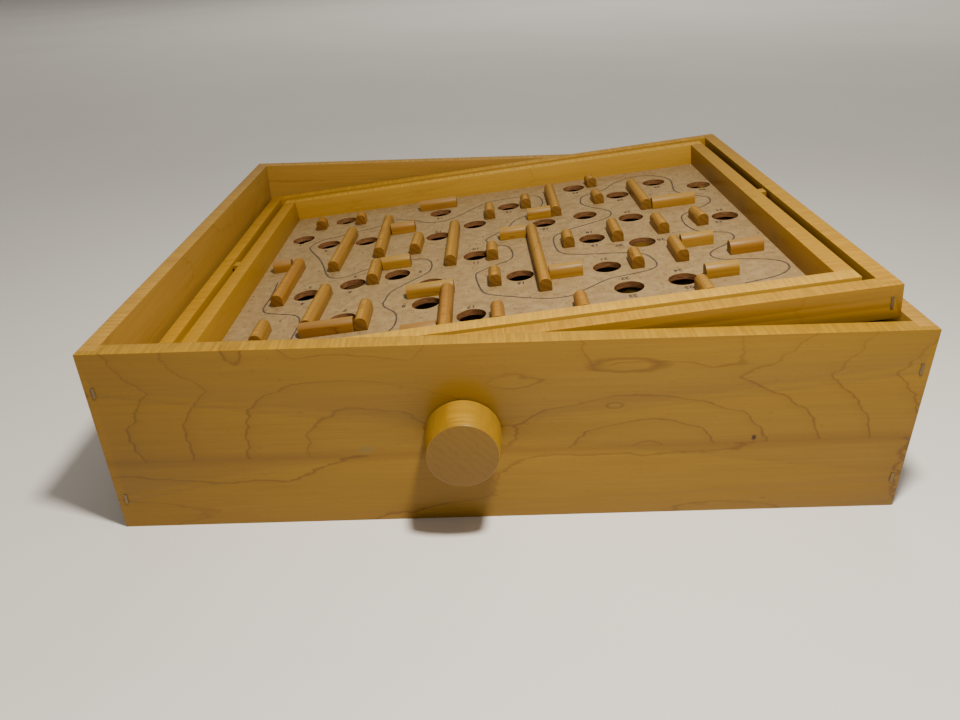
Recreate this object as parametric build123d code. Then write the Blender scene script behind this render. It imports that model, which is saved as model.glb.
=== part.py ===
"""Tilt maze game: an open wooden box with a tray hung in a gimbal frame, tilted by two knobs.

Millimetres. +Z is up and the box rests on z = 0. The origin is the middle of the underside of
the box. +X runs along the long side, and the wall with the front knob is the one at -Y.
"""

import math
import os

from build123d import *

os.makedirs("parts", exist_ok=True)

# Box.
BOX_X = 330.0
BOX_Y = 292.0
BOX_Z = 84.0
END_WALL = 8.0
SIDE_WALL = 7.0
PANEL = 3.0
IN_X = BOX_X / 2 - SIDE_WALL
IN_Y = BOX_Y / 2 - END_WALL

# How deep the side pieces are let into the end pieces at every corner of the box and the frame.
LAP = 5.2

# Gimbal frame and tray, measured from the pivot axes, both of which are at PIVOT_Z.
PIVOT_Z = 73.2
GIMBAL_TILT = -6.5
TRAY_TILT = -0.35
GIMBAL_X = 311.0
GIMBAL_Y = 268.0
GIMBAL_SIDE = 7.1
GIMBAL_END = 8.2
GIMBAL_HALF_Z = 7.2
TRAY_X = 287.5
TRAY_Y = 248.0
TRAY_SIDE = 7.5
TRAY_END = 8.0
TRAY_TOP = 7.0
BOARD_TOP = -6.0
BOARD = 3.0

# Shafts and knobs.
SHAFT_R = 4.0
RUNNING = 0.08
FRONT_SHAFT_X = -17.7
FRONT_SHAFT_Z = 44.0
SIDE_SHAFT_Y = 17.7
SIDE_SHAFT_Z = 32.0
KNOB_R = 15.5
KNOB_FACE_R = 14.2
KNOB_LENGTH = 16.7
KNOB_STRAIGHT = 8.0
KNOB_EDGE = 0.4
KNOB_BACK_EDGE = 0.6
KNOB_GAP = 0.5
KNOB_BORE = 13.0
SOCKET = 5.0
SOCKET_END_GAP = 0.3
COLLAR_R = 6.5
COLLAR = 4.0
COLLAR_GAP = 0.4

# Pivot pins. A pin's skin is the wood left outside its socket in the frame.
PIN_R = 1.5
PIN_RUNNING = 0.05
PIN_BACK = 0.2
PIN_END_GAP = 0.4
PIN_SKIN = 1.6
PIN_STOP = 2.1
WASHER_R = 4.0
WASHER = 3.6
BLOCK_X = 3.0
BLOCK_Y = 6.0
BLOCK_Z = 12.0

# Cords.
CORD_R = 0.5
DRUM_R = SHAFT_R + CORD_R + 0.05
CORD_PITCH = 1.1
WRAPS = 3
GIMBAL_CORNERS = ((-152.0, 28.8), (152.0, 21.3))
TRAY_CORNERS = ((-120.0, SIDE_SHAFT_Z - DRUM_R), (120.0, SIDE_SHAFT_Z - DRUM_R))
EYE_WIRE = 0.6
EYE_RING = 2.6
EYE_BEND = EYE_WIRE + CORD_R + 0.1
EYE_SHANK = 5.0
HOOK_WIRE = 0.5
HOOK_RING = 2.0
HOOK_DROP = 3.2
HOOK_SHANK = 5.0
KNOT_R = 1.1
SPRING_R = 1.5
SPRING_WIRE = 0.25
SPRING_TURNS = 6.5
SPRING_PITCH = 0.75
SPRING_PAST = 0.12
SPRING_HANG = 0.15
KNOT_GAP = 0.1

# Staples.
STAPLE = 4.5
STAPLE_WIRE = 0.6
STAPLE_FLAT = 1.2
WALL_LEG = 14.0
FRAME_LEG = 6.0
WALL_STAPLE_IN = 3.5
WALL_STAPLE_Z = (15.0, 67.0)
FRAME_STAPLE_X = 151.5

# Maze.
HOLE_R = 7.0
CHIP_X = 3.0
CHIP_Y = 2.0
CHIP_OUT = 0.2
BAR_W = 6.2
BAR_H = 6.5
BAR_ROUND = 2.9
HOLES = [
    (-124, 69), (-104.5, 51.5), (-103, -29), (-79, -22), (-78, -67), (-55, -17),
    (-80, 48), (-100, 97.5), (-35, 85), (-35, 38), (-12.5, 51), (-12, -4),
    (9.5, 78), (-36, -36.5), (-37, -61), (-14.5, -82.5), (54, 98), (29, 35.5),
    (54, 39), (52.5, -2.5), (10.5, -42), (78.5, 70), (104.5, 86), (78.5, 23.5),
    (77, -18.5), (54, -46), (60, -74.5), (85.5, -73.5), (128.5, 67), (127, 4.5),
]
# Bars that run front to back: x, near end, far end, and how far each is glued out of square.
DEEP_BARS = {
    "maze_bars_left_edge": [(-115.5, -87, -69, 0), (-115.6, -39.7, 15, -1.5), (-114.5, 84, 92.5, 0)],
    "maze_bars_left_near": [(-92.2, -77, -31.5, -2.5), (-67.2, -27, -4, 0), (-66.2, -83.5, -60, 0)],
    "maze_bars_left_far": [(-91.3, 1, 61.5, -2.8), (-88, 84, 92.5, 0), (-68.1, 14, 76, 0)],
    "maze_bars_mid_left_far": [(-46.3, 11.7, 32.5, -3), (-25, -15, 46, -1.2)],
    "maze_bars_centre": [(-2.6, 57, 72.5, 0), (-2.7, -15, -1, 0), (-2.2, -52, -39, 0)],
    "maze_bars_near_middle": [(-26.2, -110, -53.8, 0), (-2, -101, -83.5, 0)],
    "maze_bars_mid_right": [(21.2, -66.4, 18.4, 0.9), (20.7, 68.5, 81, 0), (39, -12, 1, 0)],
    "maze_bars_right_far": [(37.6, 44.6, 95.5, 0), (64.8, 57.3, 69, 4), (65.5, 94.5, 104.5, 5)],
    "maze_bars_right_middle": [(65.2, -13, 9, 0), (89.3, 33.5, 80, 1), (89.9, -10.5, 8.5, 2)],
    "maze_bars_right_edge": [(111.8, -6, 10, 4), (90.3, -52.8, -31, 0), (68.4, -53.8, -39.5, 0)],
    "maze_bars_near_right": [(36, -101, -85, 0), (90.5, -101, -85, 0)],
}
# Bars that run side to side: y, left end, right end. Ends that meet another bar stop at its face.
WIDE_BARS = {
    "maze_crossbars_left": [(14.7, -130, -119.2), (-80.4, -95.7, -69.5)],
    "maze_crossbars_mid_left": [(-4.7, -63.9, -48), (55.6, -64.4, -49.5), (96.8, -48.8, -24.2)],
    "maze_crossbars_near": [(-50.6, -46.8, -22.8), (-97.5, -45.8, -29.5), (-50, 24.9, 41.4)],
    "maze_crossbars_centre": [(17.5, 2.3, 17.3), (46.8, 20, 34.4)],
    "maze_crossbars_right": [(35.5, 93, 117.8), (-32, 93.9, 110.1)],
    "maze_crossbars_near_right": [(-49.8, 113.2, 129.5), (-74.5, 95, 110.2)],
}

# Ball ramp: a thin sheet whose lowest corner is the front right one.
RAMP = 2.5
RAMP_LOW = 6.0
RAMP_SLOPE = 0.018
RAMP_PLAY = 0.2
CLEAT = 6.0
CLEAT_RUN = 125.0
CLEAT_TOP = 20.0
BALL_R = 6.0
BALL_SIDE_GAP = 0.3
BALL_LIFT = 0.053
OUTLET_Y0 = -130.0
OUTLET_Y1 = -104.0
OUTLET_Z0 = 8.5
OUTLET_Z1 = 30.0
OUTLET_ROUND = 6.0


def box(x0, x1, y0, y1, z0, z1):
    """A block between two corners."""
    return Pos((x0 + x1) / 2, (y0 + y1) / 2, (z0 + z1) / 2) * Box(x1 - x0, y1 - y0, z1 - z0)


def rod(point, direction, radius, length):
    """A round bar that starts at a point and runs along a direction."""
    return extrude(Plane(origin=point, z_dir=direction) * Circle(radius), amount=length)


def save(shape, name):
    """Writes one node."""
    solids = shape.solids() if hasattr(shape, "solids") else shape
    out = solids[0] if len(solids) == 1 else Compound(children=list(solids))
    out.label = name
    export_step(out, "parts/" + name + ".step")


def on_gimbal(shape):
    """From the frame's own level axes to where it rests in the box."""
    return Pos(0, 0, PIVOT_Z) * Rot(0, GIMBAL_TILT, 0) * shape


def on_tray(shape):
    """From the tray's own level axes to where it rests in the box."""
    return Pos(0, 0, PIVOT_Z) * Rot(0, GIMBAL_TILT, 0) * Rot(TRAY_TILT, 0, 0) * shape


def gimbal_point(x, y, z):
    """Where a point of the level frame rests."""
    turn = math.radians(-GIMBAL_TILT)
    return Vector(
        x * math.cos(turn) - z * math.sin(turn),
        y,
        PIVOT_Z + x * math.sin(turn) + z * math.cos(turn),
    )


def tray_point(x, y, z):
    """Where a point of the level tray rests."""
    turn = math.radians(TRAY_TILT)
    return gimbal_point(
        x, y * math.cos(turn) - z * math.sin(turn), y * math.sin(turn) + z * math.cos(turn)
    )


def tube(edges, radius=CORD_R):
    """A round cord along joined edges."""
    wire = Wire(edges)
    return sweep(Plane(origin=wire @ 0, z_dir=wire % 0) * Circle(radius), path=wire)


def staple(point, across, inward, leg):
    """A wire staple: a bar on the face of the wood and two legs driven in."""
    plane = Plane(origin=point, x_dir=across, z_dir=Vector(*inward) * -1)
    made = plane * Pos(0, 0, STAPLE_WIRE / 4) * Box(STAPLE, STAPLE_FLAT, STAPLE_WIRE / 2)
    for end in (-1, 1):
        spot = Pos(end * (STAPLE - STAPLE_WIRE) / 2, 0, -leg / 2)
        made += plane * spot * Box(STAPLE_WIRE, STAPLE_FLAT, leg)
    return made


# Where each staple sits: at both ends of the front and back walls, and of the frame's end bars.
WALL_STAPLES = []
for wall_y, into in ((-BOX_Y / 2, 1), (BOX_Y / 2, -1)):
    for side in (-1, 1):
        for height in WALL_STAPLE_Z:
            spot = (side * (BOX_X / 2 - WALL_STAPLE_IN), wall_y, height)
            WALL_STAPLES.append((spot, (0, 0, 1), (0, into, 0)))
GIMBAL_STAPLES = []
for bar_y, into in ((-GIMBAL_Y / 2, 1), (GIMBAL_Y / 2, -1)):
    for side in (-1, 1):
        GIMBAL_STAPLES.append(((side * FRAME_STAPLE_X, bar_y, 0), (0, 0, 1), (0, into, 0)))

# Walls.
left_wall = box(-BOX_X / 2, -IN_X, -IN_Y - LAP, IN_Y + LAP, 0, BOX_Z)
right_wall = box(IN_X, BOX_X / 2, -IN_Y - LAP, IN_Y + LAP, 0, BOX_Z)
front_wall = box(-BOX_X / 2, BOX_X / 2, -BOX_Y / 2, -IN_Y, 0, BOX_Z) - left_wall - right_wall
back_wall = box(-BOX_X / 2, BOX_X / 2, IN_Y, BOX_Y / 2, 0, BOX_Z) - left_wall - right_wall

front_hole = rod(
    (FRONT_SHAFT_X, -BOX_Y / 2 - 1, FRONT_SHAFT_Z), (0, 1, 0), SHAFT_R + RUNNING, BOX_Y + 1
)
front_hole &= box(-BOX_X, BOX_X, -BOX_Y, IN_Y + SOCKET, 0, BOX_Z)
side_hole = rod(
    (BOX_X / 2 + 1, SIDE_SHAFT_Y, SIDE_SHAFT_Z), (-1, 0, 0), SHAFT_R + RUNNING, BOX_X + 2
)
side_hole &= box(-IN_X - SOCKET, BOX_X, -BOX_Y, BOX_Y, 0, BOX_Z)
gimbal_pin_hole = rod((0, -IN_Y - SOCKET, PIVOT_Z), (0, 1, 0), PIN_R + PIN_RUNNING, 2 * (IN_Y + SOCKET))
outlet = box(IN_X - 1, BOX_X, OUTLET_Y0, OUTLET_Y1, OUTLET_Z0, OUTLET_Z1)
outlet = fillet(outlet.edges().filter_by(Axis.X).group_by(Axis.Z)[-1], OUTLET_ROUND)


# The pieces of the two cords.


def tangent(point, radius, turn):
    """The angle at which a line from a point touches a circle about zero, and its length."""
    far = math.hypot(*point)
    angle = math.atan2(point[1], point[0]) + turn * math.acos(radius / far)
    return angle % (2 * math.pi), math.sqrt(far * far - radius * radius)


def wind(centre, axis, across, corners):
    """How a cord lies on a shaft: a function for its points and one for where it is heading."""
    flat = [(c[0] - centre.dot(across), c[1] - centre.Z) for c in corners]
    start, start_run = tangent(flat[0], DRUM_R, 1)
    stop, stop_run = tangent(flat[1], DRUM_R, -1)
    turning = 2 * math.pi * WRAPS + stop - start
    height = CORD_PITCH * turning / (2 * math.pi)
    rise = CORD_PITCH / (2 * math.pi * DRUM_R)
    up = Vector(0, 0, 1)
    ends = []
    for angle, run, side in ((start, start_run, -1), (stop, stop_run, 1)):
        off = across * (DRUM_R * math.cos(angle)) + up * (DRUM_R * math.sin(angle))
        touch = centre + off + axis * (side * height / 2)
        heading = across * -math.sin(angle) + up * math.cos(angle) + axis * rise
        ends.append((touch, touch + heading * (side * run)))
    at = centre - axis * (height / 2)
    first = across * math.cos(start) + up * math.sin(start)
    coil = Edge.make_helix(CORD_PITCH, height, DRUM_R)
    coil = Plane(origin=at, x_dir=first, z_dir=axis).location * coil
    return ends, coil


def led_up(touch, corner, top):
    """Cord from the shaft to a guide eye and round it, the free length above, and the bend."""
    edges = FilletPolyline(touch, corner, top, radius=EYE_BEND).edges()
    bend = edges.filter_by(GeomType.CIRCLE)[0]
    lines = edges.filter_by(GeomType.LINE)
    run, free = sorted(lines, key=lambda edge: (edge @ 0.5 - touch).length)
    return tube([run, bend]), free, bend.arc_center


def guide_eye(bend, outward, wall):
    """A screw eye whose ring lies flat, with a cord bent round the wire nearest the middle."""
    middle = bend + outward * EYE_RING
    ring = Pos(*middle) * Torus(EYE_RING, EYE_WIRE)
    reach = wall + EYE_SHANK - abs(middle.dot(outward)) - EYE_RING
    return ring + rod(middle + outward * EYE_RING, outward, EYE_WIRE, reach)


def hook(x, y, under, ring_axis):
    """A screw eye that points up into the wood above it. Under is the face it goes in at."""
    ring = Plane(origin=(x, y, under - HOOK_DROP), z_dir=ring_axis) * Torus(HOOK_RING, HOOK_WIRE)
    shank = rod((x, y, under - HOOK_DROP + HOOK_RING), (0, 0, 1), HOOK_WIRE,
                HOOK_DROP - HOOK_RING + HOOK_SHANK)
    return ring + shank


def spring(x, y, ring_z, loop_axis):
    """A tension spring hung in a hook whose ring is centred at ring_z, and its lowest point."""
    loop = SPRING_R + SPRING_WIRE
    drop = math.sqrt(loop * loop - SPRING_R * SPRING_R)
    top = ring_z - HOOK_RING + HOOK_WIRE + SPRING_WIRE + SPRING_HANG - loop
    height = SPRING_TURNS * SPRING_PITCH
    past = SPRING_PAST * SPRING_PITCH
    coil = Edge.make_helix(SPRING_PITCH, height + 2 * past, SPRING_R)
    start = Vector(SPRING_R, 0, 0)
    coil = sweep(
        Plane(origin=start, z_dir=coil % 0) * Circle(SPRING_WIRE), path=coil, is_frenet=True
    )
    turn = (90 if loop_axis[0] else 0) - 360 * SPRING_PAST
    made = Pos(x, y, top - drop - height - past) * Rot(0, 0, turn) * coil
    for middle in (top, top - 2 * drop - height):
        made += Plane(origin=(x, y, middle), z_dir=loop_axis) * Torus(loop, SPRING_WIRE)
    return made, top - 2 * drop - height - loop - SPRING_WIRE


def coil_tube(coil):
    """Cord along its turns round the shaft."""
    return sweep(Plane(origin=coil @ 0, z_dir=coil % 0) * Circle(CORD_R), path=coil, is_frenet=True)


def knotted(edge, top):
    """The free length of a cord with a knot at its upper end."""
    return tube([edge]) + Pos(*top) * Sphere(KNOT_R)


front_centre = Vector(FRONT_SHAFT_X, 0, FRONT_SHAFT_Z)
gimbal_ends, gimbal_coil = wind(
    front_centre, Vector(0, -1, 0), Vector(1, 0, 0), GIMBAL_CORNERS
)
side_centre = Vector(0, SIDE_SHAFT_Y, SIDE_SHAFT_Z)
tray_ends, tray_coil = wind(side_centre, Vector(1, 0, 0), Vector(0, 1, 0), TRAY_CORNERS)

# Hooks and springs hang from the frame and the tray, in their own level axes.
left_y = gimbal_ends[0][1].Y
right_y = gimbal_ends[1][1].Y
near_x = tray_ends[0][1].X
far_x = tray_ends[1][1].X
hook_x = GIMBAL_CORNERS[1][0]
hook_y = TRAY_CORNERS[1][0]
under_frame = -GIMBAL_HALF_Z
under_tray = BOARD_TOP - BOARD
gimbal_hooks = [
    hook(-hook_x, left_y, under_frame, (0, 1, 0)),
    hook(hook_x, right_y, under_frame, (0, 1, 0)),
]
tray_hooks = [
    hook(near_x, -hook_y, under_tray, (1, 0, 0)),
    hook(far_x, hook_y, under_tray, (1, 0, 0)),
]
gimbal_spring, gimbal_spring_low = spring(hook_x, right_y, under_frame - HOOK_DROP, (1, 0, 0))
tray_spring, tray_spring_low = spring(near_x, -hook_y, under_tray - HOOK_DROP, (0, 1, 0))

# Where each cord is knotted: under a hook, or under a spring.
knot_gap = KNOT_R + KNOT_GAP
under_ring = HOOK_DROP + HOOK_RING + HOOK_WIRE + knot_gap
left_top = gimbal_point(-hook_x, left_y, under_frame - under_ring)
right_top = gimbal_point(hook_x, right_y, gimbal_spring_low - knot_gap)
near_top = tray_point(near_x, -hook_y, tray_spring_low - knot_gap)
far_top = tray_point(far_x, hook_y, under_tray - under_ring)

gimbal_runs = [
    led_up(*gimbal_ends[0], left_top),
    led_up(*gimbal_ends[1], right_top),
]
tray_runs = [
    led_up(*tray_ends[0], near_top),
    led_up(*tray_ends[1], far_top),
]
eyes = [
    guide_eye(gimbal_runs[0][2], Vector(-1, 0, 0), IN_X),
    guide_eye(gimbal_runs[1][2], Vector(1, 0, 0), IN_X),
    guide_eye(tray_runs[0][2], Vector(0, -1, 0), IN_Y),
    guide_eye(tray_runs[1][2], Vector(0, 1, 0), IN_Y),
]
save(Compound(children=[run[0] for run in gimbal_runs] + [coil_tube(gimbal_coil)]),
     "gimbal_drive_cord")
save(Compound(children=[run[0] for run in tray_runs] + [coil_tube(tray_coil)]),
     "tray_drive_cord")
save(knotted(gimbal_runs[0][1], left_top), "gimbal_cord_drop_left")
save(knotted(gimbal_runs[1][1], right_top), "gimbal_cord_drop_right")
save(knotted(tray_runs[0][1], near_top), "tray_cord_drop_front")
save(knotted(tray_runs[1][1], far_top), "tray_cord_drop_back")
save(Compound(children=eyes), "cord_guide_eyes")

# Walls.
staples = [staple(*place, WALL_LEG) for place in WALL_STAPLES]
front_wall -= front_hole
front_wall -= gimbal_pin_hole
back_wall -= front_hole
back_wall -= gimbal_pin_hole
left_wall -= side_hole
right_wall -= side_hole
right_wall -= outlet
for each in staples:
    front_wall -= each
    back_wall -= each
    left_wall -= each
    right_wall -= each
left_wall -= eyes[0]
right_wall -= eyes[1]
front_wall -= eyes[2]
back_wall -= eyes[3]
save(front_wall, "front_wall")
save(back_wall, "back_wall")
save(left_wall, "left_wall")
save(right_wall, "right_wall")
save(Compound(children=staples), "wall_staples")

# Floor of the box, ball ramp and the ball that rests in its lowest corner.
save(box(-IN_X, IN_X, -IN_Y, IN_Y, 0, PANEL), "bottom_panel")
ramp_plane = Plane(origin=(IN_X, -IN_Y, RAMP_LOW), z_dir=(RAMP_SLOPE, -RAMP_SLOPE, 1))
ramp_x = IN_X - RAMP_PLAY
ramp_y = IN_Y - RAMP_PLAY
inside = box(-ramp_x, ramp_x, -ramp_y, ramp_y, PANEL, BOX_Z)
save(inside & (ramp_plane * Pos(0, 0, -RAMP / 2) * Box(3 * BOX_X, 3 * BOX_X, RAMP)), "ball_ramp")
below_ramp = ramp_plane * Pos(0, 0, -RAMP - BOX_Z / 2) * Box(3 * BOX_X, 3 * BOX_X, BOX_Z)
cleats = [
    box(-IN_X, -IN_X + CLEAT, -CLEAT_RUN, CLEAT_RUN, PANEL, CLEAT_TOP) & below_ramp,
    box(-CLEAT_RUN, CLEAT_RUN, IN_Y - CLEAT, IN_Y, PANEL, CLEAT_TOP) & below_ramp,
]
save(Compound(children=cleats), "ramp_cleats")
ball_off = BALL_R + BALL_SIDE_GAP
ball_lift = BALL_R + BALL_LIFT + RAMP_SLOPE * 2 * ball_off
save(Pos(IN_X - ball_off, -IN_Y + ball_off, RAMP_LOW + ball_lift) * Sphere(BALL_R), "steel_ball")

# Gimbal frame, in its own level axes.
half_x = GIMBAL_X / 2
half_y = GIMBAL_Y / 2
frame_in_x = half_x - GIMBAL_SIDE
frame_in_y = half_y - GIMBAL_END
frame_lap = frame_in_y + LAP
left_bar = box(-half_x, -frame_in_x, -frame_lap, frame_lap, -GIMBAL_HALF_Z, GIMBAL_HALF_Z)
right_bar = box(frame_in_x, half_x, -frame_lap, frame_lap, -GIMBAL_HALF_Z, GIMBAL_HALF_Z)
front_bar = box(-half_x, half_x, -half_y, -frame_in_y, -GIMBAL_HALF_Z, GIMBAL_HALF_Z)
back_bar = box(-half_x, half_x, frame_in_y, half_y, -GIMBAL_HALF_Z, GIMBAL_HALF_Z)
bars = {
    "gimbal_front_bar": front_bar - left_bar - right_bar,
    "gimbal_back_bar": back_bar - left_bar - right_bar,
    "gimbal_left_bar": left_bar,
    "gimbal_right_bar": right_bar,
}
pin_start = half_y - GIMBAL_END + PIN_BACK
pin_end = IN_Y + SOCKET - PIN_END_GAP
gimbal_pins = [rod((0, side * pin_start, 0), (0, side, 0), PIN_R, pin_end - pin_start)
               for side in (-1, 1)]
washers = [
    rod((0, side * half_y, 0), (0, side, 0), WASHER_R, WASHER)
    - rod((0, side * half_y, 0), (0, side, 0), PIN_R, WASHER)
    for side in (-1, 1)
]
socket_x = half_x - PIN_SKIN
tray_socket = rod((-socket_x, 0, 0), (1, 0, 0), PIN_R + PIN_RUNNING, 2 * socket_x)
frame_staples = [staple(*place, FRAME_LEG) for place in GIMBAL_STAPLES]
for name, bar in bars.items():
    bar -= tray_socket if "left" in name or "right" in name else gimbal_pins[0] + gimbal_pins[1]
    for each in frame_staples + gimbal_hooks:
        bar -= each
    save(on_gimbal(bar), name)
save(on_gimbal(Compound(children=gimbal_pins)), "gimbal_pivot_pins")
save(on_gimbal(Compound(children=washers)), "gimbal_pivot_washers")
save(on_gimbal(Compound(children=frame_staples)), "gimbal_staples")
save(on_gimbal(Compound(children=gimbal_hooks)), "gimbal_cord_hooks")
save(on_gimbal(gimbal_spring), "gimbal_cord_spring")

# Tray, in its own level axes.
tray_x = TRAY_X / 2
tray_y = TRAY_Y / 2
pin_start = tray_x - TRAY_SIDE + PIN_BACK
pin_end = half_x - PIN_STOP
tray_pins = [rod((side * pin_start, 0, 0), (side, 0, 0), PIN_R, pin_end - pin_start)
             for side in (-1, 1)]
tray_bars = {
    "tray_front_bar": box(-tray_x, tray_x, -tray_y, -tray_y + TRAY_END, BOARD_TOP, TRAY_TOP),
    "tray_back_bar": box(-tray_x, tray_x, tray_y - TRAY_END, tray_y, BOARD_TOP, TRAY_TOP),
    "tray_left_bar": box(-tray_x, -tray_x + TRAY_SIDE, -tray_y + TRAY_END, tray_y - TRAY_END,
                         BOARD_TOP, TRAY_TOP),
    "tray_right_bar": box(tray_x - TRAY_SIDE, tray_x, -tray_y + TRAY_END, tray_y - TRAY_END,
                          BOARD_TOP, TRAY_TOP),
}
blocks = [box(min(side * tray_x, side * (tray_x + BLOCK_X)),
              max(side * tray_x, side * (tray_x + BLOCK_X)),
              -BLOCK_Y / 2, BLOCK_Y / 2, TRAY_TOP - BLOCK_Z, TRAY_TOP) for side in (-1, 1)]
for name, bar in tray_bars.items():
    for each in tray_pins + tray_hooks:
        bar -= each
    save(on_tray(bar), name)
blocks = [blocks[0] - tray_pins[0], blocks[1] - tray_pins[1]]
save(on_tray(Compound(children=blocks)), "tray_pivot_blocks")
save(on_tray(Compound(children=tray_pins)), "tray_pivot_pins")
save(on_tray(Compound(children=tray_hooks)), "tray_cord_hooks")
save(on_tray(tray_spring), "tray_cord_spring")

# Maze board with its holes, and the bars glued on it.
outline = Rectangle(TRAY_X, TRAY_Y)
for x, y in HOLES:
    outline -= Pos(x, y) * Circle(HOLE_R)
outline -= Pos(HOLES[0][0], HOLES[0][1] - HOLE_R - CHIP_OUT) * Rectangle(CHIP_X, CHIP_Y)
board = Pos(0, 0, BOARD_TOP - BOARD) * extrude(outline, amount=BOARD)
for each in tray_hooks:
    board -= each
save(on_tray(board), "maze_board")


def maze_bar(x0, x1, y0, y1, skew=0):
    """One bar of the maze: flat sides and a top rounded across its width."""
    block = box(x0, x1, y0, y1, BOARD_TOP, BOARD_TOP + BAR_H)
    long_way = Axis.X if x1 - x0 > y1 - y0 else Axis.Y
    top = block.faces().sort_by(Axis.Z)[-1]
    edges = top.edges().filter_by(long_way)
    centre = Pos((x0 + x1) / 2, (y0 + y1) / 2)
    return centre * Rot(0, 0, skew) * centre.inverse() * fillet(edges, BAR_ROUND)


for name, places in DEEP_BARS.items():
    made = [maze_bar(x - BAR_W / 2, x + BAR_W / 2, y0, y1, skew) for x, y0, y1, skew in places]
    save(on_tray(Compound(children=made)), name)
for name, places in WIDE_BARS.items():
    made = [maze_bar(x0, x1, y - BAR_W / 2, y + BAR_W / 2) for y, x0, x1 in places]
    save(on_tray(Compound(children=made)), name)


# A knob is straight at the back and curves in to a smaller face.
belly = TangentArc((KNOB_R, KNOB_STRAIGHT), (KNOB_FACE_R, KNOB_LENGTH), tangent=(0, 1))
rim = Polyline((KNOB_FACE_R, KNOB_LENGTH), (0, KNOB_LENGTH), (0, 0), (KNOB_R, 0),
               (KNOB_R, KNOB_STRAIGHT))
knob_blank = revolve(Plane.XZ * make_face(belly + rim), Axis.Z)
knob_blank = fillet(knob_blank.edges().group_by(Axis.Z)[-1], KNOB_EDGE)
knob_blank = fillet(knob_blank.edges().group_by(Axis.Z)[0], KNOB_BACK_EDGE)


def drive(point, inward, far, name):
    """A dowel across the box, with a knob pressed on outside and a collar glued on inside."""
    wall = BOX_Y / 2 if inward[1] else BOX_X / 2
    inner = IN_Y if inward[1] else IN_X
    face = Vector(*point)
    along = Vector(*inward)
    knob_back = face - along * KNOB_GAP
    start = knob_back - along * KNOB_BORE
    length = KNOB_BORE + KNOB_GAP + wall + far + SOCKET - SOCKET_END_GAP
    save(rod(start, along, SHAFT_R, length), name + "_shaft")
    knob = Plane(origin=knob_back, z_dir=along * -1) * knob_blank
    save(knob - rod(knob_back, along * -1, SHAFT_R, KNOB_BORE), name + "_knob")
    ring = face + along * (wall - inner + COLLAR_GAP)
    collar = rod(ring, along, COLLAR_R, COLLAR) - rod(ring, along, SHAFT_R, COLLAR)
    save(collar, name + "_shaft_collar")


drive((FRONT_SHAFT_X, -BOX_Y / 2, FRONT_SHAFT_Z), (0, 1, 0), IN_Y, "front")
drive((BOX_X / 2, SIDE_SHAFT_Y, SIDE_SHAFT_Z), (-1, 0, 0), IN_X, "side")
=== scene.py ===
"""Looks of the tilt maze game: softened wood pieces, printed board, light, floor and camera."""
import math

import bmesh
import bpy
from mathutils import Matrix, Vector


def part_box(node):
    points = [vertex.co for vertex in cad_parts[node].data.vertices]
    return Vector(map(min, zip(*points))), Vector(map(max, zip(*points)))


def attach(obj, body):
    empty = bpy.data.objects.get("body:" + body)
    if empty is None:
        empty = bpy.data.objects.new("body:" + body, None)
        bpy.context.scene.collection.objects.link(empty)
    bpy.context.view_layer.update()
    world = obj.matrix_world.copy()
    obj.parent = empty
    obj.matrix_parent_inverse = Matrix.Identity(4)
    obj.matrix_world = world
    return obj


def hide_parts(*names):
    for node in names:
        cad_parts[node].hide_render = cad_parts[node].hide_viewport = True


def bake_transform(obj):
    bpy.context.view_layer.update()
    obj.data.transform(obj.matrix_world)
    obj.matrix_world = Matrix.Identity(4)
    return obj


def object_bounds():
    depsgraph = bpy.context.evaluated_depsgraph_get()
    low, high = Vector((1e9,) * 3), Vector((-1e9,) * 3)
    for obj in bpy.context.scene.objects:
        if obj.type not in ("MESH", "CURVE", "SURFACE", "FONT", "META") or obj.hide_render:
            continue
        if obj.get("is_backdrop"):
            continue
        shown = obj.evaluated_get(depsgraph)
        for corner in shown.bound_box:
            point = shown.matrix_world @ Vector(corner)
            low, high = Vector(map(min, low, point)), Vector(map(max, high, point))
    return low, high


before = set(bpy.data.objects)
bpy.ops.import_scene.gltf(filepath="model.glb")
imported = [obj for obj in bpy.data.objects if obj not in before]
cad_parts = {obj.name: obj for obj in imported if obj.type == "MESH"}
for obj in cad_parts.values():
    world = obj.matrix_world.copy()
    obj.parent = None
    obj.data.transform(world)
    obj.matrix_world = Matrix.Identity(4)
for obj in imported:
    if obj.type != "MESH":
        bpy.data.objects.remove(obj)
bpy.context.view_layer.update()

# Lengths are metres, except where a list says millimetres. The gimbal frame and the tray in it
# rest tilted, about axes at this height.
PIVOT_Z = 0.0732
FRAME_TILT = math.radians(-6.5)
TRAY_TILT = math.radians(-0.35)
LEVEL = Matrix.Identity(4)
FRAME = Matrix.Translation((0, 0, PIVOT_Z)) @ Matrix.Rotation(FRAME_TILT, 4, "Y")
TRAY = FRAME @ Matrix.Rotation(TRAY_TILT, 4, "X")


# Building: materials, meshes and objects.


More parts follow.
